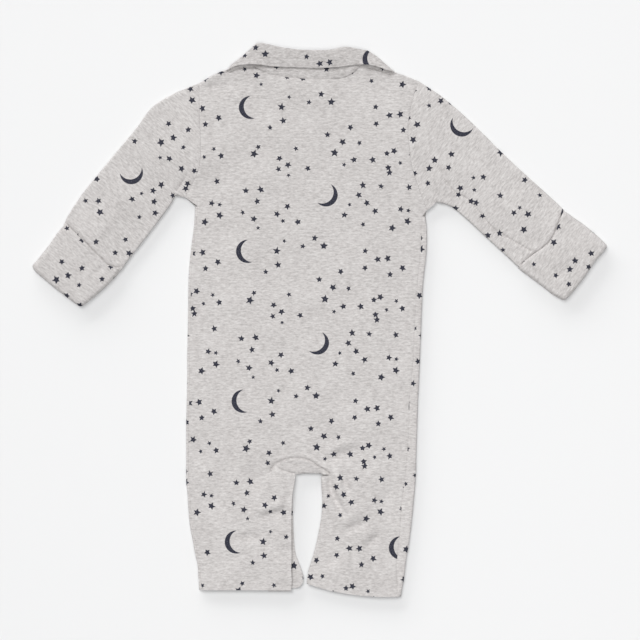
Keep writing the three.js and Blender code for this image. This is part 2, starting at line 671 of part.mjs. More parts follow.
// Each lies over the end of its sleeve and comes down round both of its folds.
function makeMitt(side) {
  const cloth = new Cloth();
  const rows = MITTS[side];
  const middle = (row) => mixPoint(row.upper, row.lower, 0.5);
  const [start, end] = [middle(rows[0]), middle(rows.at(-1))];
  const reach = Math.hypot(end[0] - start[0], end[1] - start[1]);
  const toWrist = [(end[0] - start[0]) / reach, (end[1] - start[1]) / reach];
  cloth.grid(rows.map(({ upper, lower, bow }) => {
    const width = Math.hypot(upper[0] - lower[0], upper[1] - lower[1]);
    const plan = (share) => {
      const [x, y] = mixPoint(upper, lower, share);
      const off = bow * 4 * share * (1 - share);
      return [x + toWrist[0] * off, y + toWrist[1] * off];
    };
    const turn = (flip) => Array.from({ length: CURL_STEPS + 1 }, (_, step) => {
      const angle = (Math.PI / 2) * (step / CURL_STEPS);
      const place = (wall) => {
        const inset = (wall + (MITT_CURL - wall) * (1 - Math.cos(angle))) / width;
        const rise = (MITT_HEIGHT - wall) * Math.sin(angle);
        return [...plan(flip ? 1 - inset : inset), rise];
      };
      return cloth.point(place(0), place(MITT_WALL));
    });
    const over = INNER_SHARES.map((share) => {
      const [x, y] = plan(share);
      return cloth.laid(x, y, height(x, y) + SEAM + MITT_WALL, MITT_WALL);
    });
    return [...turn(false), ...over, ...turn(true).reverse()];
  }));
  return cloth.geometry();
}
add('mitt_left', makeMitt('left'), 'jersey');
add('mitt_right', makeMitt('right'), 'jersey');

// ---------------------------------------------------------------- collar

const ROLL_RADIUS = (WALL + SEAM) / 2; // middle of the wall, round the roll line
const FOLD_BOTTOM = WALL / 2; // middle of the fall where it lies on the surface
const FALL_SHARES = [1 / 3, 2 / 3, 1];

const towards = (from, to, distance) =>
  mixPoint(from, to, distance / Math.hypot(to[0] - from[0], to[1] - from[1]));

// A folded sheet, given by the middle of its wall, thickened along its normals.
class FoldedCloth extends Cloth {
  middle(x, y, z) {
    return this.point([x, y, z], [x, y, z]);
  }

  geometry() {
    const normals = this.outer.map(() => new THREE.Vector3());
    const at = (i) => new THREE.Vector3(...this.outer[i]);
    for (const face of this.faces) {
      const [p, q, r] = face.map(at);
      const normal = q.sub(p).cross(r.sub(p));
      for (const i of face) normals[i].add(normal);
    }
    const middles = this.outer;
    const moved = (distance) => middles.map((point, i) =>
      new THREE.Vector3(...point).addScaledVector(normals[i].clone().normalize(), distance)
        .toArray());
    this.outer = moved(WALL / 2);
    this.inner = moved(-WALL / 2);
    return super.geometry();
  }
}

function makeCollar() {
  const cloth = new FoldedCloth();
  // The fall from its roll line to its edge, at one height.
  const fallRow = (roll, fall, z) => [
    cloth.middle(...towards(roll, fall, ROLL_RADIUS + WALL / 2), z),
    ...FALL_SHARES.map((share) => cloth.middle(...mixPoint(roll, fall, share), z)),
  ];
  const backRows = [];
  const standRows = [];
  COLLAR.forEach(({ roll, fall, base, stand_z }, i) => {
    const isFold = i === 0 || i === COLLAR.length - 1;
    const inset = isFold ? foldInset(i === 0 ? 'left' : 'right', Math.PI / 2) : [0, 0];
    const [from, to] = [shift(roll, inset), shift(fall, inset)];
    const fallZ = stand_z + 2 * ROLL_RADIUS;
    const row = fallRow(from, to, fallZ);
    const low = towards(from, base, ROLL_RADIUS + WALL / 2);
    standRows.push([
      cloth.middle(...base, stand_z),
      cloth.middle(...mixPoint(base, low, 0.5), stand_z),
      cloth.middle(...low, stand_z),
      cloth.middle(...towards(from, to, WALL / 2), stand_z + ROLL_RADIUS),
      row[0],
    ]);
    backRows.push(row);
  });
  const ends = (side) => {
    const { roll, fall, stand_z } = side === 'left' ? COLLAR[0] : COLLAR.at(-1);
    const top = stand_z + 2 * ROLL_RADIUS;
    const [centre, radius] = [(top + FOLD_BOTTOM) / 2, (top - FOLD_BOTTOM) / 2];
    const rows = [];
    for (let step = CURL_STEPS - 1; step >= 0; step -= 1) {
      const angle = -Math.PI / 2 + (Math.PI * step) / CURL_STEPS;
      const inset = foldInset(side, angle);
      const z = centre + radius * Math.sin(angle);
      rows.push(fallRow(shift(roll, inset), shift(fall, inset), z));
    }
    const inset = foldInset(side, -Math.PI / 2);
    for (const share of [0.5, 1]) {
      rows.push(fallRow(
        mixPoint(shift(roll, inset), COLLAR_ENDS[side].roll, share),
        mixPoint(shift(fall, inset), COLLAR_ENDS[side].point, share),
        FOLD_BOTTOM,
      ));
    }
    return rows;
  };
  cloth.grid([...ends('left').reverse(), ...backRows, ...ends('right')]);
  cloth.grid(standRows);
  return cloth.geometry();
}

// How far inside the silhouette the fall's middle lies at an angle round a fold.
function foldInset(side, angle) {
  const { roll, fall, stand_z } = side === 'left' ? COLLAR[0] : COLLAR.at(-1);
  const length = Math.hypot(fall[0] - roll[0], fall[1] - roll[1]);
  const sign = side === 'left' ? 1 : -1;
  const inward = [(-sign * (fall[1] - roll[1])) / length, (sign * (fall[0] - roll[0])) / length];
  const radius = (stand_z + 2 * ROLL_RADIUS - FOLD_BOTTOM) / 2;
  const inset = radius + WALL / 2 - radius * Math.cos(angle);
  return [inward[0] * inset, inward[1] * inset];
}
function shift(point, by) {
  return [point[0] + by[0], point[1] + by[1]];
}
add('collar', makeCollar(), 'collar');

export default romper;
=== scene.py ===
"""Footless sleepsuit for a baby, lying face down on a pale sheet and seen from its back.

Heather-grey cotton interlock with a small night-sky print: two fronts below, the
back on top of them, long sleeves with turned-back mitten cuffs, a folded collar,
a crotch gusset, and a press-stud placket down the inside of one leg. Tables are in
millimetres, as on the cutting table, and every mesh is made in metres.
"""
import math

import bpy
import numpy as np
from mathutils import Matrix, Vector, geometry, kdtree


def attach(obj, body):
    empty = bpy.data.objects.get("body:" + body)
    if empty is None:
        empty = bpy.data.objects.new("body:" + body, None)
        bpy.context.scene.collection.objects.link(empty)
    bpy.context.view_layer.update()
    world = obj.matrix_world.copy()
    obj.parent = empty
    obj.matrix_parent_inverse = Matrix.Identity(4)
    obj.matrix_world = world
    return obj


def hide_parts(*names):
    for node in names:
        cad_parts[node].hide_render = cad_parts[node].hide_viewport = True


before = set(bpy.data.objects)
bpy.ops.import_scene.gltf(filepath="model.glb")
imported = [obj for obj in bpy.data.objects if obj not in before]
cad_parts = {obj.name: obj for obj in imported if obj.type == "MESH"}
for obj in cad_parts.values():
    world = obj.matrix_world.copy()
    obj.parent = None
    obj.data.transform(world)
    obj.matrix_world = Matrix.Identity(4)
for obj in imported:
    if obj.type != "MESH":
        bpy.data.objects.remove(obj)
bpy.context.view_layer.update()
MM = 0.001

# ---------------------------------------------------------------- camera, floor, light
# The camera looks straight down on the flat garment, which lies on matt white card. A broad
# lamp overhead, a soft key from the upper left and a low lamp beyond the collar light both.
# A second low lamp reaches only the card, and lays the soft shadow along the hems.
VIEW_WIDTH = 0.640        # metres across the view, at the height of the cloth
CLOTH_HEIGHT = 0.005
LENS_MM, SENSOR_MM = 100.0, 36.0

camera_data = bpy.data.cameras.new("camera")
camera_data.lens = LENS_MM
camera_data.sensor_width = SENSOR_MM
camera = bpy.data.objects.new("camera", camera_data)
camera.location = (0, 0, VIEW_WIDTH * LENS_MM / SENSOR_MM + CLOTH_HEIGHT)
bpy.context.collection.objects.link(camera)
bpy.context.scene.camera = camera
bpy.context.scene.view_settings.view_transform = "Standard"


def linear(code):
    """An sRGB hex colour as linear light, opaque."""
    channels = [int(code[i:i + 2], 16) / 255 for i in (1, 3, 5)]
    return [c / 12.92 if c <= 0.04045 else ((c + 0.055) / 1.055) ** 2.4 for c in channels] + [1.0]


def node(tree, kind, inputs=None, **settings):
    """Adds a shader node. An input is either a value or the socket that feeds it."""
    made = tree.nodes.new("ShaderNode" + kind)
    for key, value in settings.items():
        setattr(made, key, value)
    for name, value in (inputs or {}).items():
        if isinstance(value, bpy.types.NodeSocket):
            tree.links.new(value, made.inputs[name])
        else:
            made.inputs[name].default_value = value
    return made


def material(name):
    """A new empty material and its node tree."""
    made = bpy.data.materials.new(name)
    made.use_nodes = True
    made.node_tree.nodes.clear()
    return made, made.node_tree


def hang(name, kind, energy, facing):
    """A white lamp that shines along 'facing'."""
    data = bpy.data.lights.new(name, kind)
    data.energy = energy
    made = bpy.data.objects.new(name, data)
    made.rotation_euler = Vector(facing).to_track_quat("-Z", "Y").to_euler()
    bpy.context.collection.objects.link(made)
    return made


def softbox(name, energy, size, place, target):
    """A soft lamp, so wide and so high, that stands at its place and faces the target."""
    made = hang(name, "AREA", energy, Vector(target) - Vector(place))
    made.data.shape = "RECTANGLE"
    made.data.size, made.data.size_y = size
    made.location = place
    return made


softbox("overhead_softbox", 40.0, (2.6, 2.6), (0.42, -0.42, 2.6), (0.42, -0.42, 0))
softbox("low_softbox", 80.0, (8.0, 1.3), (-2.0, 5.7, 1.25), (0, 0, 0))
floor_wash = softbox("floor_wash", 540.0, (8.0, 1.2), (-2.8, 5.5, 0.95), (0, 0, 0))
key = hang("key_softbox", "SUN", 1.6, (0.32, -0.61, -0.72))
key.data.angle = math.radians(34)

world = bpy.data.worlds.new("studio")
world.use_nodes = True
world.node_tree.nodes["Background"].inputs["Color"].default_value = linear("#f6f7f9")
world.node_tree.nodes["Background"].inputs["Strength"].default_value = 0.26
bpy.context.scene.world = world

# Matt white card, pressed smooth. Its fibres are too fine to show, so a very faint unevenness,
# 7 mm apart, stands for them.
CARD_SIZE, CARD_DROP = 6.0, 0.0002
card, tree = material("matt_white_card")
fibre = node(tree, "TexNoise", {"Scale": 900.0, "Detail": 3.0})
grain = node(tree, "Bump", {"Height": fibre.outputs["Fac"], "Strength": 0.04, "Distance": 0.0002})
shader = node(tree, "BsdfPrincipled", {
    "Base Color": linear("#e0e0e0"), "Roughness": 0.9, "Specular IOR Level": 0.2,
    "Normal": grain.outputs["Normal"],
})
node(tree, "OutputMaterial", {"Surface": shader.outputs["BSDF"]})
bpy.ops.mesh.primitive_plane_add(size=CARD_SIZE, location=(0, 0, -CARD_DROP))
floor = bpy.context.object
floor.name = "floor_card"
floor.data.materials.append(card)
card_only = bpy.data.collections.new("card_only")
card_only.objects.link(floor)
floor_wash.light_linking.receiver_collection = card_only

# ---------------------------------------------------------------- back
# One piece of printed cotton interlock from the neck and shoulders to both hems. It is
# overlocked to the sleeves and the fronts, and its inner edge at -X closes the placket.
LAYER = 0.95          # thickness of the knit
AIR = 0.3             # air between two layers that lie on each other
SEAM = 0.06           # what a seam takes up between two sewn pieces
EDGE = 3.3            # height over a folded edge: two layers and the air between
CURL = EDGE / 2       # radius of that edge
CROWN = 2.4           # how much higher the garment stands in its middle
CROWN_REACH = 62.0    # how far from the edges it gets there
PRESSED = 1.0         # the least height, where a crease presses the layers flat

ARMHOLES = {          # share of the way down, and how far the seam bows to the neck
    "left": ((-121, 237), (-135, 123), (
        (0, 0), (0.1, 1.6), (0.2, 3.1), (0.35, 5.6), (0.5, 8.5),
        (0.65, 10.6), (0.77, 9.8), (0.88, 5.8), (1, 0))),
    "right": ((99, 239), (107, 110), (
        (0, 0), (0.1, 5.5), (0.2, 9.8), (0.35, 13.8), (0.5, 14),
        (0.65, 12.6), (0.77, 9), (0.88, 4.6), (1, 0))),
}
SIDES = {             # x and y of the folded edge, and how far the front wraps on to the back
    "left": (
        (-125, 114, 2.4), (-126, 96, 2.4), (-129, 72, 2.4), (-131.5, 44, 2.5), (-132, 14, 2.5),
        (-132.5, -14, 2.5), (-133, -40, 2.5), (-133, -62, 2.5), (-133.5, -84, 2.5),
        (-134, -106, 2.5), (-134, -124, 2.5), (-134, -145, 2.5), (-134, -162, 2.5),
        (-132.7, -174, 2.5), (-132, -186, 2.5), (-131.2, -198, 2.5), (-129.7, -210, 2.5),
        (-127.3, -222, 2.5), (-125.2, -234, 2.5), (-122.6, -246, 2.5), (-121.8, -258, 2.5),
        (-121, -270.5, 2.5)),
    "right": (
        (105.5, 104, 3), (107, 90, 5.5), (106.5, 66, 6), (103.5, 40, 5.5), (102, 12, 6),
        (101, -14, 6.5), (100, -40, 6.5), (99, -62, 7.5), (98, -84, 8.5), (97.3, -106, 8),
        (96.7, -124, 8.5), (96.3, -138, 9.5), (96, -155, 10.2), (95, -168, 11),
        (93.6, -184, 11.5), (92, -200, 11.3), (90.5, -213, 10.5), (88.6, -227, 10),
        (86.2, -241, 9), (84.5, -256, 7.5), (82.5, -268, 5), (81, -277, 3.5)),
}
SHOULDERS = {
    "left": ((-121, 237), (-111, 243), (-102, 247.6), (-97, 249.3), (-85, 253.2), (-72, 259.5)),
    "right": ((46, 260), (58, 254.8), (70, 249.6), (82, 245.4), (88, 243.4), (99, 239)),
}
NECK = (
    (-72, 259.5), (-66, 254), (-58, 249.5), (-45, 245), (-35, 243), (-23, 241.7), (-12, 241.1),
    (0, 241), (20, 242), (32, 247), (40, 254), (46, 260))
CROTCH = (
    (-24.5, -154), (-33.3, -151.7), (-40, -149.2), (-44.2, -145.3), (-40, -141.7),
    (-33.3, -139.2), (-25, -138), (-16.7, -138.7), (-8.3, -141.7), (-1.7, -146.7), (5, -150),
    (10.8, -155))
PLACKET_EDGE = (
    (-24.5, -154), (-25.5, -162), (-27.5, -174), (-28.3, -186), (-28.6, -198), (-28.6, -222),
    (-28.4, -240), (-28.9, -250), (-28.2, -259), (-29, -270.5))
INNER_LEG = (
    (1, -156.6), (1.2, -160.5), (1.5, -166), (2.4, -182), (1.2, -198), (-1.2, -212),
    (-4.2, -226), (-7.8, -239), (-11.5, -251), (-12.8, -259), (-13.2, -264.2))
PLAIN_HEM = ((-13.2, -264.2), (10, -271), (34, -275.2), (60, -277.3), (77.5, -277))
SLEEVES = {           # upper fold, lower fold and how far the end tucks in under the cuff
    "left": (
        (-144, 228, -145, 124.5, 0), (-168, 213, -149, 117, 0), (-184, 192, -156, 107, 0),
        (-204, 168, -168, 91, 0), (-223, 145, -181, 74, 0), (-236, 129, -189, 64, 0),
        (-245, 116, -195, 56, 0), (-254, 101.5, -199, 50, 0), (-261, 91, -208.5, 41, 2.6),
        (-270, 77, -221, 28.5, 2.8), (-286.2, 56.4, -234.9, 17.2, 2.8)),
    "right": (
        (122, 224, 117, 118, 0), (142, 207, 130, 114.5, 0), (164, 186, 146, 102, 0),
        (185, 165, 161, 88, 0), (206, 145.5, 174, 76, 0), (220, 133, 184, 67, 0),
        (232, 122, 192, 59.5, 0), (242, 112.5, 198, 54, 0), (252, 105, 208, 46, 2.6),
        (266, 94.5, 223, 34.5, 2.8), (286.6, 75.6, 242.2, 20.8, 2.8)),
}

# Folds and ridges in the garment: x, y, length, turn in degrees from +X, half width, rise,
# and how far the line bows. Most of those on the legs run out from the gusset. Those on the
# arms start at the armholes and the cuffs. The last five are broad swells.
CREASES = (
    (5, -151.5, 17, -35, 1.5, -2.2, 0), (11, -183.4, 56, -62, 3.4, 1.0, -2),
    (15.8, -180.6, 58, -62, 3.2, -5.5, -2), (20, -178, 120, -72, 20, 3.4, 0),
    (20, -166, 38, -72, 3.4, 0.7, -1), (25.5, -164, 40, -72, 3.2, -3.6, -1),
    (35, -207, 40, 24, 3.8, -3.0, -1), (29, -198, 30, 24, 4.5, 1.2, -1),
    (53, -221, 30, 45, 3.4, -2.8, 0), (47, -215, 30, 45, 4.5, 1.2, 0),
    (19.5, -126, 50, 22, 4, 1.5, 1), (23, -134, 50, 22, 4.2, -2.1, 1),
    (4.2, -166, 34, -84, 3, 1.2, 0), (10.5, -163, 32, -82, 3.6, -4.5, 0),
    (36, -190, 30, 30, 6, 1.4, 0), (-48, -187, 48, 18, 4, 1.8, -2),
    (-47, -194.5, 48, 18, 3.8, -2.8, -2), (-47, -147.5, 16, 58, 1.9, -3.8, 0),
    (-40, -160, 60, 20, 14, 1.6, 0), (-66, -160, 34, -58, 6, -2.0, 2),
    (-72, -217, 40, 8, 4.5, -1.8, 2), (-33, -180, 26, 70, 4, -1.6, 0),
    (12, -241, 28, 60, 5, -1.6, 0), (80, -258, 36, 84, 5, -1.5, 0),
    (66, -176, 44, 60, 5.5, -1.2, 2), (-90, -240, 54, 20, 6, -1.0, 2),
    (-96, -150, 64, 70, 9, -1.2, 3), (-20, -106.5, 28, -12, 2.6, -0.8, 0),
    (-95, 234, 70, 12, 7, -1.9, 0), (92, 236, 40, -20, 6, -1.8, 0),
    (93, 224, 26, -14, 2.4, -1.2, 1), (-109.5, 234, 20, 15, 1.8, -1.5, 0),
    (-138.5, 136.5, 27, 58, 1.6, -1.8, 0), (-130, 133, 15, 90, 2.4, -1.6, 0),
    (100, 129.3, 10, 0, 1.3, -0.9, 0), (128, 137, 22, -50, 2.6, -0.9, 0),
    (215, 134.5, 44, -42, 1.6, -2.0, 0), (-221.5, 50, 22, 38, 1.8, -1.8, 0),
    (239, 46.5, 28, 33, 2.2, -1.3, 1), (254, 78, 16, 72, 2, -0.5, 0),
    (-60, 120, 120, 80, 26, 0.7, 6), (40, 60, 150, 96, 28, 0.7, -6),
    (-70, -60, 130, 92, 24, 0.6, 5), (-214, 100, 70, 52, 12, 0.7, 3),
    (190, 108, 80, -44, 12, 0.7, -3),
)
SHARP_FOLD = 2.5      # half width below which a fold has a crisp line
# Where the collar stands off the shoulders, the back drops away under its edge.
UNDER_COLLAR = (
    ((-96, 247.0), (-92, 248.6), (-88, 250.6), (-84, 252.2), (-78, 253.3), (-70, 253.9),
     (-58, 253.4)),
    ((44, 254.2), (50, 253.3), (58, 251.3), (66, 248.6), (71, 247.2), (77, 245.8)),
)
COLLAR_DROP = 5.5


def smooth(share):
    """Eases from 0 to 1."""
    share = np.clip(share, 0, 1)
    return share * share * (3 - 2 * share)


def mound(away, width):
    """A rounded profile, 1 on its line, that dies out within about twice its width."""
    return np.exp(-(away / width)**2)


def bent(away, radius):
    """How far up a quarter-round fold has come, 0 to 1, at a distance from its edge."""
    return np.sqrt(1 - (1 - np.minimum(away / radius, 1))**2)


def curve(points, step=2.5):
    """A smooth line through the points at an even step."""
    p = np.array([q[:2] for q in points], float)
    p = np.vstack([2 * p[0] - p[1], p, 2 * p[-1] - p[-2]])
    gaps = np.sqrt(np.maximum(np.linalg.norm(np.diff(p, axis=0), axis=1), 1e-6))
    parts = []
    for i in range(1, len(p) - 2):
        a, b, (g0, g1, g2) = p[i], p[i + 1], gaps[i - 1:i + 2]
        leave = (b - a) + g1 * ((a - p[i - 1]) / g0 - (b - p[i - 1]) / (g0 + g1))
        enter = (b - a) + g1 * ((p[i + 2] - b) / g2 - (p[i + 2] - a) / (g1 + g2))
        count = max(1, round(float(np.linalg.norm(b - a)) / step))
        t = (np.arange(count) / count)[:, None]
        parts.append((2 * t**3 - 3 * t**2 + 1) * a + (t**3 - 2 * t**2 + t) * leave
                     + (3 * t**2 - 2 * t**3) * b + (t**3 - t**2) * enter)
    return np.vstack(parts + [p[-2:-1]])


def joined(*lines):
    """Lines end to end as one outline, without its doubled corners."""
    points = np.vstack([np.asarray(line, float)[:, :2] for line in lines])
    away = np.linalg.norm(points - np.roll(points, 1, axis=0), axis=1)
    points = points[away > 0.05]
    ahead = np.roll(points, -1, axis=0)
    area = np.sum(points[:, 0] * ahead[:, 1] - ahead[:, 0] * points[:, 1])
    return points if area > 0 else points[::-1]


def armhole(side, out=0.0):
    """The armhole seam from the shoulder down, moved out towards the sleeve."""
    top, bottom, rows = ARMHOLES[side]
    sign = 1 if side == "left" else -1
    return curve([
        (top[0] + (bottom[0] - top[0]) * down + sign * (bow - out),
         top[1] + (bottom[1] - top[1]) * down)
        for down, bow in rows])


def side_edge(side):
    """The folded edge down one side of the body and the leg."""
    return curve(SIDES[side])


def side_seam(side, gap=0.0):
    """Where the front, wrapped round the edge, meets the back."""
    sign = 1 if side == "left" else -1
    return curve([(x + sign * (wrap + gap), y) for x, y, wrap in SIDES[side]])


def sleeve_fold(side, which):
    """A sleeve's upper (0) or lower (1) fold."""
    points = []
    for ux, uy, lx, ly, tuck in SLEEVES[side]:
        share = tuck / math.hypot(ux - lx, uy - ly)
        share = 1 - share if which else share
        points.append((ux + (lx - ux) * share, uy + (ly - uy) * share))
    return curve(points)


def away_from(lines, points):
    """Distance of each point from the nearest of the lines."""
    starts = np.vstack([line[:-1] for line in lines])
    runs = np.vstack([np.diff(line, axis=0) for line in lines])
    square = np.maximum((runs**2).sum(1), 1e-12)
    found = []
    for chunk in np.array_split(points, len(points) * len(starts) // 1500000 + 1):
        off = chunk[:, None] - starts[None]
        share = np.clip((off * runs).sum(2) / square, 0, 1)
        found.append(np.sqrt(((off - share[..., None] * runs)**2).sum(2).min(1)))
    return np.concatenate(found)


FOLDS = [
    joined(curve(SHOULDERS["left"][2::-1]), sleeve_fold("left", 0)),
    joined(curve(SHOULDERS["right"][-2:]), sleeve_fold("right", 0)),
    sleeve_fold("left", 1), sleeve_fold("right", 1), side_edge("left"), side_edge("right"),
    np.array(((-22, -153.55), (0.5, -153.9))), curve(INNER_LEG[1:]),
]
FREE = [
    curve(SHOULDERS["left"]), curve(SHOULDERS["right"]), curve(PLACKET_EDGE),
    np.array(((-121, -270.5), (-29, -270.5))), curve(PLAIN_HEM),
    np.array([SLEEVES["left"][-1][:2], SLEEVES["left"][-1][2:4]]),
    np.array([SLEEVES["right"][-1][:2], SLEEVES["right"][-1][2:4]]),
]
SEAMS = [armhole("left"), armhole("right"), side_seam("left"), side_seam("right"),
         curve(CROTCH), curve(NECK)]
STUD_X, LOWEST_STUD, STUD_PITCH = -34, -252, 36
STUDS = [(STUD_X, LOWEST_STUD + STUD_PITCH * i) for i in range(3)]


def crease_rise(x, y):
    """All the pressed folds together."""
    rise = np.zeros(len(x))
    for cx, cy, long, turn, wide, depth, bow in CREASES:
        turn = math.radians(turn)
        along = ((x - cx) * math.cos(turn) + (y - cy) * math.sin(turn)) / (long / 2)
        across = (y - cy) * math.cos(turn) - (x - cx) * math.sin(turn) + bow * along**2
        shape = np.abs(across / wide)**(1.3 if wide < SHARP_FOLD else 2)
        rise += depth * np.exp(-shape) * (1 - smooth(np.abs(along)))
    return rise


def crease_lines(left, right, low, high):
    """The centre lines of the sharp folds in one part of the garment, for its net."""
    lines = []
    for x, y, long, turn, wide, _, bow in CREASES:
        if wide < SHARP_FOLD and left < x < right and low < y < high:
            turn, along = math.radians(turn), np.linspace(-0.5, 0.5, max(3, round(long / 2)))
            off = -4 * bow * along**2
            lines.append(np.column_stack([
                x + long * along * math.cos(turn) - off * math.sin(turn),
                y + long * along * math.sin(turn) + off * math.cos(turn)]))
    return lines


def placket_rise(x, y):
    """How the back stands over the placket: up on its facing, up again over each stud, and
    down along the row of stitches beside the edge."""
    facing_rise, stud_rise, stud_half, stitch_inset, stitch_depth = 0.9, 1.2, 6.2, 3.6, 0.8
    edge_x, facing_width = -28.3, 26
    across = 1 - smooth((edge_x - x - facing_width) / 20)
    down = smooth((-156 - y) / 6) * (x < -12)
    stud = np.zeros(len(x))
    for sx, sy in STUDS:
        from_stud = np.maximum(abs(x - sx), abs(y - sy))
        stud = np.maximum(stud, 1 - smooth((from_stud - stud_half) / 8))
    stitched = away_from([curve([(px - stitch_inset, py) for px, py in PLACKET_EDGE[1:]])],
                         np.column_stack([x, y]))
    return across * down * (facing_rise + stud_rise * stud) - stitch_depth * down * mound(stitched, 0.9)


def sewn_rise(points, fold):
    """How the cloth puckers and sinks at the seams, and rolls over along the gusset. Both die
    out at the folded edges, 'fold' away."""
    x, y = points.T
    seam = away_from(SEAMS, points)
    pucker = 0.12 * np.sin(x / 1.9 + y / 1.3) * mound(seam, 4.5)
    valley = (pucker - 0.3 * mound(seam, 0.8)) * smooth(fold / 2.5)
    gusset = away_from([curve(CROTCH)], points)
    ridge = (0.8 * mound(gusset - 2.3, 1.1) - 0.6 * mound(gusset, 0.9)) * smooth((fold - 2) / 2)
    return valley, ridge


def surface(points):
    """Height of the garment's upper face over the sheet that it lies on. It rises from its
    edges to the crown, and the creases and ripples die out near the edges."""
    x, y = points.T
    fold = away_from(FOLDS, points)
    inset = np.minimum(fold, away_from(FREE, points))
    rounded = CURL + np.sqrt(CURL**2 - (CURL - np.minimum(fold, CURL))**2)
    ripple = (0.42 * np.sin(x / 15 + 1.7 * np.sin(y / 37)) * np.sin(y / 21 + 0.6)
              + 0.2 * np.sin(y / 8.5 + 2.1 * np.sin(x / 29)))
    raised = rounded + CROWN * smooth(inset / CROWN_REACH)
    raised = raised + crease_rise(x, y) * smooth(inset / 5) + ripple * smooth((inset - 1.5) / 9)
    valley, ridge = sewn_rise(points, fold)
    top = np.maximum(raised, np.minimum(rounded, PRESSED)) + valley + ridge + placket_rise(x, y)
    for line in UNDER_COLLAR:
        along, down = np.array(line).T
        ends = smooth((x - along[0]) / 8) * smooth((along[-1] - x) / 8)
        drop = COLLAR_DROP * ends * np.exp(-np.abs((y - np.interp(x, along, down)) / 1.5)**4)
        top = np.where(drop > 0.05, np.maximum(top - drop, np.minimum(top, PRESSED)), top)
    return top


def star(x, y, size, turn, rough):
    """A hand-drawn five-point star."""
    point, notch = 0.57, 0.28
    corners = np.arange(10)
    spokes = turn + corners * math.pi / 5
    reach = np.where(corners % 2, notch, point) * size * rough
    return np.column_stack([x + reach * np.cos(spokes), y + reach * np.sin(spokes)])


def moon(x, y, opening):
    """A crescent: a disc with another cut out of it, 5 mm towards its opening."""
    radius, shift = 11.6, 5.0
    tip = math.acos(shift / 2 / radius)
    outer = opening + np.linspace(tip, 2 * math.pi - tip, 30)
    inner = opening + np.linspace(math.pi + tip, math.pi - tip, 20)[1:-1]
    arc = np.column_stack([np.cos(outer), np.sin(outer)]) * radius
    cut = np.column_stack([np.cos(inner), np.sin(inner)]) * radius
    cut += shift * np.array((math.cos(opening), math.sin(opening)))
    return np.vstack([arc, cut]) + (x, y)


# One repeat of the print: across and down from its corner, and the size of each star. The
# next repeat across lies a little lower, since the cloth was cut off the straight.
REPEAT, COURSE_DROP, REPEAT_DOWN = 187.0, 6.0, 147.0
CHART = (
    (98, 3, 6), (70, 4, 5.5), (80, 10, 4), (11, 16, 6.5), (54, 24.5, 7), (132.5, -0.5, 4.5),
    (175, 2.5, 6.5), (177, 7.5, 6.5), (153, 20, 6.5), (170.5, 21, 5.5), (39.5, 25.5, 6.5),
    (150, 30, 6.5), (51, 36.5, 6), (6, 38, 6), (14, 39.5, 4.5), (159, 38, 6.5), (142, 39.5, 4),
    (81, 41.5, 6), (168, 46, 6.5), (37, 47.5, 5), (71, 49, 6.5), (138, 50, 6.5), (14, 50.5, 7),
    (48, 54, 6.5), (77, 56, 4.5), (92, 57, 6.5), (186, 63, 7), (157, 59.5, 5), (52.5, 63, 4),
    (109.5, 73, 6.5), (79, 76, 4), (98, 81.5, 5), (119, 81, 7.5), (72, 86, 7.5), (184, 93.5, 7),
    (174, 94.5, 6.5), (161, 86, 5.5), (12.5, 97, 6.5), (73.5, 100, 6.5), (0, 103.5, 6),
    (161.5, 103, 5.5), (61, 107, 5), (137, 106.5, 6.5), (115.5, 114.5, 6), (129.5, 122.5, 7),
    (145.5, 123.5, 5), (178.5, 132, 6.5), (172, 135, 5.5), (50, 128, 5), (85.5, 129.5, 5),
    (8, 130, 4.5), (46, 135.5, 7.5), (122.5, 134, 7.5), (15, 137.5, 6.5), (-1, 138.5, 4.5),
    (70.5, 140, 6.5), (141.5, 141.5, 6.5), (159.5, 141.5, 6.5), (79, 146.5, 6.5),
)
MOONS = ((42.5, 86.4, 10.7), (118.0, 29.8, 144.0))     # across, down, turn of the opening


def printed(place, turn=0.0):
    """Every star and moon of the print that falls near the cloth. 'place' takes a point of
    the print, across and down, to the cloth, or gives None where there is no cloth."""
    shapes = []
    rng = np.random.default_rng(11)
    looks = [(rng.uniform(0, 2 * math.pi), rng.uniform(0.84, 1.14, 10)) for _ in CHART]
    for i in range(-3, 4):
        for j in range(-3, 4):
            corner = (REPEAT * i, COURSE_DROP * i + REPEAT_DOWN * j)
            for (u, v, size), (spin, rough) in zip(CHART, looks):
                spot = place(u + corner[0], v + corner[1])
                if spot is not None:
                    shapes.append(star(*spot, size, spin + turn, rough))
            for u, v, opening in MOONS:
                spot = place(u + corner[0], v + corner[1])
                if spot is not None:
                    shapes.append(moon(*spot, math.radians(opening) + turn))
    return shapes


# Where the back is tucked into a seam, so that no print shows: x, y and reach.
TUCKED = ((-44.0, -143.5, 7.0), (-129.5, -138.0, 5.0))


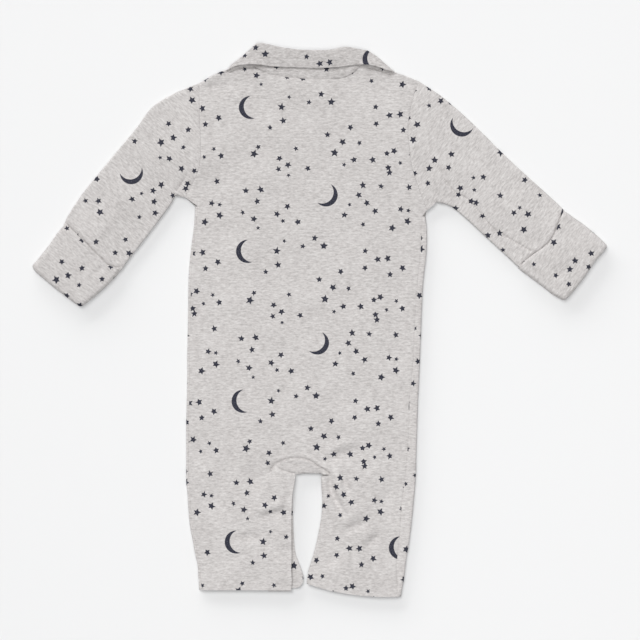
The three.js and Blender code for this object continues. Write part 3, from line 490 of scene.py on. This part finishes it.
def on_back(u, v):
    """A point of the print on the back. The print hangs down the body from the left side, is
    drawn in towards the legs, and is pulled a little to the inner edge of the leg at +X."""
    y = 155 - v - np.interp(v, (-90, -40, -10, 50, 140, 200, 230, 260, 290, 320, 350, 415),
                            (3.3, 2.8, 0.5, 0, 0, 1.9, 2.9, 2.2, 0.8, -1.9, -3.4, -3.2))
    rows = (-280, -227, -180, -80, -35, 20, 59, 109, 170)
    spread = (
        np.interp(y, rows, (0.975, 0.975, 0.975, 0.975, 0.98, 0.985, 0.99, 1.01, 1.06)),
        np.interp(y, rows, (0.89, 0.895, 0.915, 0.955, 0.968, 0.984, 0.989, 1.01, 1.058)))
    left = np.interp(y, (-260, -225, -195, -165, -135, -105, -75, -30, -6, 40),
                     (-125.5, -124.8, -122.5, -122, -118.4, -118.6, -118, -117.8, -116.5, -114.6))
    share = float(smooth(u / 160))
    x = left + u * (spread[0] * (1 - share) + spread[1] * share)
    drawn = float(smooth((-195 - y) / 30)) * math.exp(-((x - 14) / 20)**2)
    x, y = x - 2.8 * drawn, y + 3.6 * drawn
    tucked = any(math.hypot(x - tx, y - ty) < reach for tx, ty, reach in TUCKED)
    return (x, y) if abs(x) < 150 and abs(y) < 290 and not tucked else None


def inside(outline, points):
    """Which points lie within the outline."""
    x, y = points.T
    odd = np.zeros(len(points), bool)
    for (ax, ay), (bx, by) in zip(outline, np.roll(outline, -1, axis=0)):
        if ay != by:
            crosses = (ay > y) != (by > y)
            odd ^= crosses & (x < (bx - ax) * (y - ay) / (by - ay) + ax)
    return odd


def net(outline, spacing, shapes=(), lines=(), rows=(0.25, 0.75, 1.6, 2.8)):
    """Triangles over a flat outline, close along its edge and along the lines, with the
    print cut into them. 'rows' are the insets of the points that follow the edge. Returns the
    points, the triangles and which of them are printed."""
    beside = (-2.4, -1.2, -0.5, 0, 0.5, 1.2, 2.4)
    clear_of_edge, clear_of_print, motif_reach = 2.5, 0.7, 12.0
    row_step, clear_of_rows = spacing * 0.866, spacing * 0.45
    closed = [np.vstack([outline, outline[:1]])]
    ahead = np.roll(outline, -1, axis=0) - np.roll(outline, 1, axis=0)
    inward = np.column_stack([-ahead[:, 1], ahead[:, 0]])
    inward /= np.linalg.norm(inward, axis=1)[:, None]
    free = []
    for row in rows:
        line = outline + inward * row
        line = line[inside(outline, line)]
        free.append(line[away_from(closed, line) > 0.88 * row])
    for line in lines:
        run = np.gradient(line, axis=0)
        across = np.column_stack([-run[:, 1], run[:, 0]]) / np.linalg.norm(run, axis=1)[:, None]
        for off in beside:
            row = line + across * off
            row = row[inside(outline, row)]
            free.append(row[away_from(closed, row) > clear_of_edge])
    low, high = outline.min(0), outline.max(0)
    grid = []
    for k, y in enumerate(np.arange(low[1], high[1], row_step)):
        xs = np.arange(low[0] + (k % 2) * spacing / 2, high[0], spacing)
        grid.append(np.column_stack([xs, np.full(len(xs), y)]))
    grid = np.vstack(grid)
    grid = grid[inside(outline, grid)]
    grid = grid[away_from(closed, grid) > rows[-1] + clear_of_rows]
    if lines:
        grid = grid[away_from(lines, grid) > beside[-1] + clear_of_rows]
    low, high = low - motif_reach, high + motif_reach
    shapes = [s for s in shapes if (s.mean(0) > low).all() and (s.mean(0) < high).all()]
    shapes = [s for s in shapes if inside(outline, s).any()]
    free = np.vstack(free + [grid])
    if shapes:
        tree = kdtree.KDTree(sum(len(s) for s in shapes))
        for k, q in enumerate(np.vstack(shapes)):
            tree.insert((q[0], q[1], 0), k)
        tree.balance()
        free = free[[tree.find((q[0], q[1], 0))[2] > clear_of_print for q in free]]
    given = np.vstack([outline] + shapes + [free])
    faces, start = [list(range(len(outline)))], len(outline)
    for shape in shapes:
        faces.append(list(range(start, start + len(shape))))
        start += len(shape)
    points, _, made, _, _, owners = geometry.delaunay_2d_cdt(
        [Vector(q) for q in given], [], faces, 1, 1e-5)
    points, made = np.array([tuple(q) for q in points]), np.array([list(face) for face in made])
    keep = inside(outline, points[made].mean(1))
    inked = np.array([any(face > 0 for face in owner) for owner in owners])
    used, made = np.unique(made[keep], return_inverse=True)
    return points[used], made.reshape(-1, 3), inked[keep]


def mark_rims(mesh, weld):
    """Keeps the cut edges crisp. Edges that are sewn to another sheet stay soft."""
    uses = np.bincount([loop.edge_index for loop in mesh.loops], minlength=len(mesh.edges))
    ends = np.zeros(2 * len(mesh.edges), np.int32)
    mesh.edges.foreach_get("vertices", ends)
    spots = np.zeros(3 * len(mesh.vertices))
    mesh.vertices.foreach_get("co", spots)
    middles = spots.reshape(-1, 3)[ends.reshape(-1, 2)].mean(1)
    rims = np.flatnonzero(uses == 1)
    tree = kdtree.KDTree(len(rims))
    for k in rims:
        tree.insert(middles[k], k)
    tree.balance()
    sharp = np.zeros(len(mesh.edges), bool)
    for k in rims:
        sharp[k] = tree.find_n(middles[k], 2)[1][2] > weld
    mesh.attributes.new("sharp_edge", "BOOLEAN", "EDGE").data.foreach_set("value", sharp)


def cloth(name, sheets, slots, grain=0.0, weld=0.02, thickness=LAYER):
    """One garment piece from its flat sheets. Each sheet is (net, heights, is_below), the
    sheets are sewn where they meet, and the knit gets its thickness inwards."""
    points, faces, inked, base = [], [], [], 0
    for (flat, made, ink), heights, is_below in sheets:
        points.append(np.column_stack([flat, heights]) * MM)
        one, two = flat[made[:, 1]] - flat[made[:, 0]], flat[made[:, 2]] - flat[made[:, 0]]
        clockwise = one[:, 0] * two[:, 1] - one[:, 1] * two[:, 0] < 0
        faces.append(np.where((clockwise != is_below)[:, None], made[:, ::-1], made) + base)
        inked.append(ink)
        base += len(flat)
    points, inked = np.vstack(points), np.concatenate(inked)
    mesh = bpy.data.meshes.new(name)
    mesh.from_pydata(points.tolist(), [], np.vstack(faces).tolist())
    mesh.polygons.foreach_set("material_index", inked.astype(np.int32))
    mesh.shade_smooth()
    mark_rims(mesh, weld * MM)
    turn = math.radians(grain)
    layer = mesh.uv_layers.new(name="grain")
    at = np.zeros(len(mesh.loops), np.int32)
    mesh.loops.foreach_get("vertex_index", at)
    x, y = points[at, 0] * 10, points[at, 1] * 10
    uv = np.column_stack([x * math.cos(turn) + y * math.sin(turn),
                          y * math.cos(turn) - x * math.sin(turn)])
    layer.data.foreach_set("uv", uv.ravel())
    for slot in slots:
        mesh.materials.append(slot)
    made = bpy.data.objects.new(name, mesh)
    bpy.context.collection.objects.link(made)
    joint = made.modifiers.new("sewn", "WELD")
    joint.merge_threshold = weld * MM
    wall = made.modifiers.new("knit_thickness", "SOLIDIFY")
    wall.thickness = thickness * MM
    wall.offset = -1
    return made


def interlock(name, dark, middle, light):
    """Heather cotton interlock: a matt knit of pale and dark fibres spun together, which the
    eye sees as short streaks along the courses. Its loops, 0.8 mm apart, and its streaks are
    drawn a little coarse, so that they show. One unit of the grain is 100 mm."""
    made, tree = material(name)
    uv = node(tree, "UVMap", uv_map="grain").outputs["UV"]

    def streaks(long_mm, wide_mm, detail, shift):
        scaled = node(tree, "Mapping", {
            "Vector": uv, "Scale": (100 / long_mm, 100 / wide_mm, 1), "Location": (shift, shift, 0)})
        return node(tree, "TexNoise", {
            "Vector": scaled.outputs["Vector"], "Scale": 1.0, "Detail": detail, "Roughness": 0.62,
        }, noise_dimensions="2D").outputs["Fac"]

    yarn = streaks(6.6, 1.8, 4.0, 3.1)
    hair = streaks(2.8, 1.0, 2.0, 17.7)
    cloudy = streaks(34.0, 24.0, 3.0, 8.3)
    both = node(tree, "Mix", {0: 0.38, 2: yarn, 3: hair}, data_type="FLOAT").outputs[0]
    melange = node(tree, "Mix", {0: 0.14, 2: both, 3: cloudy}, data_type="FLOAT").outputs[0]
    ramp = node(tree, "ValToRGB", {"Fac": melange})
    ramp.color_ramp.elements[0].position = 0.33
    ramp.color_ramp.elements[0].color = linear(dark)
    ramp.color_ramp.elements[1].position = 0.68
    ramp.color_ramp.elements[1].color = linear(light)
    ramp.color_ramp.elements.new(0.5).color = linear(middle)
    loops = node(tree, "Mapping", {"Vector": uv, "Scale": (100, 77, 1)})
    stitch = node(tree, "TexVoronoi", {
        "Vector": loops.outputs["Vector"], "Scale": 1.0, "Randomness": 0.55}, voronoi_dimensions="2D")
    relief = node(tree, "Math", {0: stitch.outputs["Distance"], 1: hair}, operation="SUBTRACT")
    bump = node(tree, "Bump", {"Height": relief.outputs[0], "Strength": 0.35, "Distance": 0.0003})
    shader = node(tree, "BsdfPrincipled", {
        "Base Color": ramp.outputs["Color"], "Roughness": 0.92, "Specular IOR Level": 0.18,
        "Sheen Weight": 0.12, "Sheen Roughness": 0.5, "Normal": bump.outputs["Normal"],
    })
    node(tree, "OutputMaterial", {"Surface": shader.outputs["BSDF"]})
    return made


def pigment(name):
    """Navy pigment print on the knit: flat and dry, and a little broken where the loops, drawn
    1 mm apart, show through it."""
    made, tree = material(name)
    uv = node(tree, "UVMap", uv_map="grain").outputs["UV"]
    loops = node(tree, "Mapping", {"Vector": uv, "Scale": (90, 120, 1)})
    broken = node(tree, "TexNoise", {
        "Vector": loops.outputs["Vector"], "Scale": 1.0, "Detail": 3.0}, noise_dimensions="2D")
    ramp = node(tree, "ValToRGB", {"Fac": broken.outputs["Fac"]})
    ramp.color_ramp.elements[0].position = 0.5
    ramp.color_ramp.elements[0].color = linear("#2b2c38")
    ramp.color_ramp.elements[1].position = 0.78
    ramp.color_ramp.elements[1].color = linear("#5c5d68")
    bump = node(tree, "Bump", {
        "Height": broken.outputs["Fac"], "Strength": 0.25, "Distance": 0.0002})
    shader = node(tree, "BsdfPrincipled", {
        "Base Color": ramp.outputs["Color"], "Roughness": 0.8, "Specular IOR Level": 0.25,
        "Normal": bump.outputs["Normal"],
    })
    node(tree, "OutputMaterial", {"Surface": shader.outputs["BSDF"]})
    return made


jersey = interlock("heather_cotton_interlock", "#b2aeac", "#cbc7c5", "#dfdcda")
ink = pigment("navy_pigment_print")

back_outline = joined(
    curve(SHOULDERS["left"]), curve(NECK), curve(SHOULDERS["right"]), armhole("right"),
    side_seam("right", SEAM), curve(PLAIN_HEM)[::-1], curve(INNER_LEG)[::-1],
    curve(CROTCH)[::-1], curve(PLACKET_EDGE),
    np.array(((-29, -270.5), (-118.5, -270.5))), side_seam("left", SEAM)[::-1],
    armhole("left")[::-1])
back_net = net(back_outline, 2.6, printed(on_back), crease_lines(-130, 96, -280, 260)
               + [curve(line[1:-1], 2) - (0, down) for line in UNDER_COLLAR for down in (0, 1.9)])
back = cloth("back_panel", [(back_net, surface(back_net[0]), False)], (jersey, ink))
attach(back, "root")
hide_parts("back")

# ---------------------------------------------------------------- fronts
# Two pieces of the same knit below the back. Each is folded round the side edge and is
# sewn to the back on top: 2.5 mm in from the edge at -X, up to 11 mm in at +X. The one
# at -X is wider at its inner leg, and shows past the back near the hem.
FRONT_TOP = {
    "left": ((-121, 235.2), (-110, 240.8), (-99, 246), (-92.6, 247.8), (-72, 222.8),
             (-50.6, 196.2), (-25, 204.6), (-0.15, 212.8)),
    "right": ((0.15, 212.8), (24, 203.2), (46.6, 194), (60, 217.6), (75.2, 243), (80, 242.8),
              (98.2, 236.9)),
}
FLAP = (
    (-24.3, -154), (-25.3, -162), (-27.2, -174), (-27.4, -186), (-27, -198), (-26.7, -210),
    (-26, -222), (-24.5, -234), (-20.3, -246), (-16.8, -257), (-17.6, -263.5), (-21.5, -267.6),
    (-28, -268.4))
INNER_FRONT = (
    (1.8, -153.4), (3.2, -158.5), (3.3, -166), (4.2, -182), (3.1, -198), (0.7, -212), (-2.3, -226),
    (-5.9, -239), (-9.6, -251), (-10.9, -259), (-11.3, -264.5))


def underside(points):
    """Height of the outer face below, which lies flat between its curled edges."""
    fold = np.minimum(away_from(FOLDS, points), CURL)
    return CURL - np.sqrt(CURL**2 - (CURL - fold)**2)


def laid(at, chart_at, reach, turn=0, across=1, down=1):
    """The print around one point of it, 'chart_at', that comes to lie 'at' a place on the
    cloth. It is turned by so many degrees and drawn in to these shares across and down."""
    turn = math.radians(turn)
    cos, sin = math.cos(turn), math.sin(turn)

    def place(u, v):
        du, dv = (u - chart_at[0]) * across, (chart_at[1] - v) * down
        x, y = at[0] + du * cos - dv * sin, at[1] + du * sin + dv * cos
        return (x, y) if math.hypot(du, dv) < reach else None
    return printed(place, turn)


def lifted(points):
    """Height of the fronts below: flat, but the loose corner of the flap stands a little."""
    x, y = points.T
    loose = smooth((x + 40) / 22) * smooth((-225 - y) / 30) * (x < -12)
    return underside(points) + 1.6 * loose


def front(side, outline, print_at):
    """The flat part below and the strip that comes round on to the back, as one piece. It
    was cut apart from the back, so its stars don't match along the seams."""
    shapes = laid(print_at, (140, 190), 420)
    below = net(outline, 5.0, shapes)
    seam, edge = side_seam(side), side_edge(side)
    strip = net(joined(edge, seam[::-1]), 1.8, shapes, rows=(0.25, 0.7, 1.2))
    made = cloth("front_panel_" + side, [
        (below, lifted(below[0]), True), (strip, surface(strip[0]), False)], (jersey, ink))
    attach(made, "root")
    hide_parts("front_" + side)


front("left", joined(
    np.array(FRONT_TOP["left"]), np.array(((-0.15, 212.8), (-11, -138))),
    np.array(((-10.8, -139.2), (-11.2, -151.7))), curve(FLAP),
    np.array(((-28, -269.4), (-121, -270.5))), side_edge("left")[::-1], armhole("left")[::-1]),
    print_at=(-8.5, -8))
front("right", joined(
    np.array(FRONT_TOP["right"]), armhole("right"), side_edge("right"),
    np.array(((81, -277), (77.5, -277))), curve(PLAIN_HEM)[::-1], curve(INNER_FRONT)[::-1],
    np.array(((-10.9, -151.4), (-10.5, -139.2), (0.15, 212.8)))),
    print_at=(40, -62.5))

# ---------------------------------------------------------------- crotch gusset
# A lens of the same knit, sewn in between the legs so that they can spread. Its lower half
# is folded under, on to the hidden front.
GUSSET_FOLD = ((-24.5, -153.9), (-16.7, -153.7), (-1.7, -153.7), (5, -154.5), (10.8, -155))
gusset_net = net(joined(curve(CROTCH, 1.5), curve(GUSSET_FOLD, 1.5)[::-1]), 1.6,
                 rows=(0.25, 0.75, 1.4))
gusset = cloth("crotch_gusset_piece", [(gusset_net, surface(gusset_net[0]) + 0.1, False)],
               (jersey, ink), grain=8)
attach(gusset, "root")
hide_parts("crotch_gusset")

# ---------------------------------------------------------------- inside-leg placket
# A doubled strip of the knit backs the inner edge of the leg at -X and ends just past the
# hem. Three press studs close the edge; they lie hidden between the layers.
FACING_TOP = 2.0
facing_outline = joined(
    curve(PLACKET_EDGE[1:]), np.array(((-29, -271.8), (-52, -271.8))),
    np.array(((-52, -270.5), (-49, -162))))
facing_net = net(facing_outline, 2.6)
facing_z = np.minimum(surface(facing_net[0]) - LAYER - AIR, FACING_TOP)
facing = cloth("placket_facing_strip", [(facing_net, facing_z, False)], (jersey, ink))
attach(facing, "root")
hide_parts("placket_facing")

# Nickel-free steel, pressed from bright strip: a plain pale metal. Its drawn grain, 0.01 mm
# apart, is too fine to show and only breaks up the shine.
steel, tree = material("pressed_nickel_free_steel")
brushed = node(tree, "TexNoise", {"Scale": 1400.0, "Detail": 2.0})
dent = node(tree, "Bump", {"Height": brushed.outputs["Fac"], "Strength": 0.1, "Distance": 0.0001})
shader = node(tree, "BsdfPrincipled", {
    "Base Color": linear("#c3c4c6"), "Metallic": 1.0, "Roughness": 0.3,
    "Normal": dent.outputs["Normal"]})
node(tree, "OutputMaterial", {"Surface": shader.outputs["BSDF"]})
for count in (1, 2, 3):
    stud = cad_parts["press_stud_%d" % count]
    stud.data.materials.clear()
    stud.data.materials.append(steel)

# ---------------------------------------------------------------- sleeves
# Long set-in sleeves, each a closed tube that lies flat. The one at +X has rolled round,
# so that its underarm seam shows along the lower edge.
CUFF_EDGES = {         # where the cuffs are sewn on to the sleeves
    "left": ((-254.5, 97), (-246, 88.5), (-232, 74.5), (-219, 61.5), (-213, 55.6), (-206, 53),
             (-197.8, 52.6)),
    "right": ((244.5, 109.6), (242.4, 106), (238.4, 96.5), (233, 83), (224.6, 73.6),
              (212.5, 65), (203.6, 57.6), (198.6, 51.8)),
}
UNDERARM_SEAM = ((124, 140), (136, 127), (146, 122), (163, 103), (175, 90), (192, 80), (211, 69))


def sleeve(side, moon_at, moon_chart, turn, across, down, seams):
    """Both faces of the tube, sewn along its two folds and open at its ends. The print turns
    with the grain and is set by the moon that shows. 'seams' are those on the upper face."""
    outline = joined(armhole(side, 2 * SEAM), sleeve_fold(side, 1), sleeve_fold(side, 0)[::-1])
    shapes = laid(moon_at, moon_chart, 210, turn, across, down)
    upper_arm = (-240, -130) if side == "left" else (104, 232)
    cuff = curve(CUFF_EDGES[side], 2.0)
    above = net(outline, 2.6, shapes, seams + [cuff] + crease_lines(*upper_arm, 60, 240))
    below = net(outline, 5.0, shapes)
    heights = surface(above[0])
    for seam in seams:
        away = away_from([seam], above[0])
        heights -= 1.1 * mound(away, 0.9) - 0.5 * mound(away - 2.6, 1.8)
    away = away_from([cuff], above[0])
    sewn = smooth(away_from([sleeve_fold(side, 0), sleeve_fold(side, 1)], above[0]) / 4)
    heights += sewn * (0.6 * mound(away - 2.6, 1.3) - 1.2 * mound(away, 1.1))
    made = cloth("set_in_sleeve_" + side, [
        (above, heights, False), (below, underside(below[0]), True)], (jersey, ink), grain=turn)
    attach(made, "root")
    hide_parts("sleeve_" + side)


sleeve("left", moon_at=(-188.7, 147.4), moon_chart=MOONS[1][:2], turn=-39.4, across=0.88,
       down=0.987, seams=[])
sleeve("right", moon_at=(141.9, 195.1), moon_chart=MOONS[0][:2], turn=51, across=0.98,
       down=0.97, seams=[curve(UNDERARM_SEAM)])

# ---------------------------------------------------------------- mitten cuffs
# Each sleeve ends in a pocket of the same knit that is turned back over the hand. It
# covers the wrist from above, with a folded end and a sewn edge towards the elbow.
MITTS = {
    "left": dict(
        upper=((-254.5, 97), (-263, 87.5), (-271, 76), (-281, 63), (-286.6, 56.8)),
        wrist=((-286.6, 56.8), (-288.2, 54.4), (-287, 50.6), (-272, 37), (-256, 24.4), (-244, 15.6),
               (-240.3, 13.6), (-236.4, 15)),
        lower=((-236.4, 15), (-231, 19.2), (-221, 27.6), (-212, 36), (-204, 44.6), (-197.8, 52.6))),
    "right": dict(
        upper=((244.5, 109.6), (254, 103), (266, 94.5), (278, 84.5), (285.4, 77.4)),
        wrist=((285.4, 77.4), (287.6, 75), (287.4, 72.8), (276, 58.4), (262, 38.4), (247.8, 21.6),
               (245.4, 20), (243, 20.2)),
        lower=((243, 20.2), (235, 24.5), (223, 33.5), (211, 42.5), (198.6, 51.8))),
}
MITT_LAYER = 1.5      # the turned-back pocket: two layers, pressed
MITT_TOP = 4.9        # the least height of the flat part
MITT_CURL = 3.6       # radius of its folded edges


def mitt(side, print_at, chart_at, turn, across, down):
    """The turned-back layer over the sleeve, curling down round both folds and the end."""
    lines = {name: curve(points, 2.0) for name, points in MITTS[side].items()}
    lines["edge"] = curve(CUFF_EDGES[side], 2.0)
    folds = [lines["upper"], lines["wrist"], lines["lower"]]
    outline = joined(lines["edge"], lines["lower"][::-1], lines["wrist"][::-1], lines["upper"][::-1])
    shapes = laid(print_at, chart_at, 75, turn, across, down)
    above = net(outline, 2.4, shapes, rows=(0.2, 0.6, 1.3, 2.2, 3.4))
    points = above[0]
    away = away_from(folds, points)
    full = surface(points) + AIR + MITT_LAYER
    full = np.maximum(full, MITT_TOP + 0.8 * smooth(away / 14)) + crease_rise(*points.T)
    edge = away_from([lines["edge"]], points)
    full += 0.12 * np.sin(points[:, 0] / 1.7) * mound(edge, 4) - 1.2 * mound(edge, 0.9)
    heights = full * bent(away, MITT_CURL)
    made = cloth("mitten_cuff_" + side, [(above, heights, False)], (jersey, ink), grain=turn)
    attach(made, "root")
    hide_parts("mitt_" + side)


mitt("left", print_at=(-240, 55.2), chart_at=(133, 105), turn=-37, across=0.92, down=0.9)
mitt("right", print_at=(246.7, 62.7), chart_at=(182, 84), turn=54, across=1.0, down=0.92)

# ---------------------------------------------------------------- collar
# A folded collar of the same knit, whose darker tones are painted shade. The fall comes over from
# the roll line and hides most of the stand, whose base is sewn into the neck; its ends go round on to
# the fronts.
ROLL = ((-64, 277), (-58, 277.2), (-45, 274), (-34, 272), (-20, 270.2), (-5, 269.8), (10, 270.2),
        (25, 273), (33, 272.2), (41, 270.8), (48, 269.7))
LEFT_FOLD = ((-94, 249.4), (-88, 256), (-78, 264), (-69, 272), (-64, 277))
RIGHT_FOLD = ((48, 269.7), (57, 264), (66, 256), (75, 248))
FALL_EDGE = ((-94, 249.4), (-84, 253.8), (-70, 255.4), (-60, 255), (-46, 253.4), (-20, 252.4),
             (2, 252), (20, 253), (30, 254.6), (40, 255.3), (50, 254.8), (58, 252.8), (68, 249.4),
             (75, 248))
# Where the stand lies along the neck, and how high.
STAND_X = (-94, -70, -58, -42, -22, 0, 20, 34, 44, 49, 75)
STAND_Z = (2.6, 3.6, 4.2, 4.6, 4.7, 4.7, 4.6, 4.55, 4.0, 3.6, 2.6)
STAND_RISE = 0.6      # the stand's upper face over STAND_Z
FALL_RISE = 2.1       # and the fall's, with the air that the roll keeps
FALL_LIP = 2.6        # how far the fall's loose edge stands up at its ends
COLLAR_CURL = 3.3     # radius of the collar's edge below
UNDER_BACK = 2.3      # how far the ends stay below the back's upper face
# The collar's knit is the body's, drawn in darker tones: painted shade.
collar_knit_painted_shade = interlock("collar_interlock_painted_shade", "#a5a19f", "#c3bfbd", "#dbd8d6")
roll, left_fold, right_fold = curve(ROLL), curve(LEFT_FOLD), curve(RIGHT_FOLD)
collar_folds = [left_fold, roll, right_fold]


def collar_net(outline, spacing, shapes=()):
    """A net for a part of the collar, close along the edges that roll over."""
    return net(outline, spacing, shapes, rows=(0.2, 0.6, 1.3, 2.2, 3.2))


def towards_ends(x):
    """0 across the back of the neck, 1 where the collar goes round to the fronts."""
    return smooth((np.abs(x + 8) - 44) / 14)


def fall_height(points):
    """The fall lies on the stand, rolls down at its top fold, and lifts at its two ends."""
    x, y = points.T
    top = np.interp(x, STAND_X, STAND_Z) + FALL_RISE
    ends = towards_ends(x)
    middle = (1 - ends) * (top - 1.35) + ends * top / 2
    inset = away_from(collar_folds, points)
    radius = top - middle
    lip = ends * mound(away_from([curve(FALL_EDGE)], points), 4) * smooth((86 - np.abs(x + 9.5)) / 8)
    wave = 0.25 * np.sin(x / 9 + 0.6) * smooth(inset / 6) + FALL_LIP * lip
    return (middle + radius * bent(inset, radius) + wave
            + 0.5 * smooth(inset / 9) * mound(y - 262, 9))


def stand_height(points):
    """The stand lies on the back, and sinks at the neck seam and below the fall's edge."""
    x = points[:, 0]
    top = np.interp(x, STAND_X, STAND_Z) + STAND_RISE
    ends = towards_ends(x)
    edge = (1 - ends) * (top + 0.15) + ends * (top + 1.5) / 2
    height = edge + (top - edge) * bent(away_from(collar_folds, points), 1.6)
    height -= 0.5 * mound(away_from([curve(NECK)], points), 1.2)
    height -= 1.5 * mound(away_from([curve(FALL_EDGE)], points), 1.2)
    return height


def end_height(points):
    """The ends lie flat below the fronts, curl up at the fold and stay under the back."""
    away = np.minimum(away_from(collar_folds, points), COLLAR_CURL)
    curled = COLLAR_CURL - np.sqrt(COLLAR_CURL**2 - (COLLAR_CURL - away)**2)
    return np.minimum(curled, np.maximum(surface(points) - UNDER_BACK, 0))


fall = collar_net(joined(left_fold, roll, right_fold, curve(FALL_EDGE)[::-1]), 2.2,
                  laid((54, 260.3), MOONS[0][:2], 240, turn=2.6, across=0.98, down=0.9))
collar_fall = cloth("collar_fall", [(fall, fall_height(fall[0]), False)],
                    (collar_knit_painted_shade, ink), thickness=0.85)
stand = collar_net(joined(roll, right_fold[:3], curve(NECK)[::-1], left_fold[-3:]), 2.4,
                   laid((49, 268), MOONS[0][:2], 240))
collar_stand = cloth("collar_stand", [(stand, stand_height(stand[0]), False)],
                     (collar_knit_painted_shade, ink), thickness=0.7)
lower_left = collar_net(joined(left_fold, np.array(((-64, 277), (-3, 213.5), (-50, 197)))), 4.0)
lower_right = collar_net(joined(right_fold, np.array(((75, 248), (46, 194.8), (3, 213.5)))), 4.0)
collar_ends = cloth("collar_front_ends", [
    (part, end_height(part[0]), True) for part in (lower_left, lower_right)],
    (collar_knit_painted_shade, ink))
for piece, flat, area in (
        (collar_fall, (0.175, 0.031), 0.0029), (collar_stand, (0.128, 0.043), 0.0033),
        (collar_ends, (0.140, 0.085), 0.0062)):
    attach(piece, "root")
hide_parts("collar")
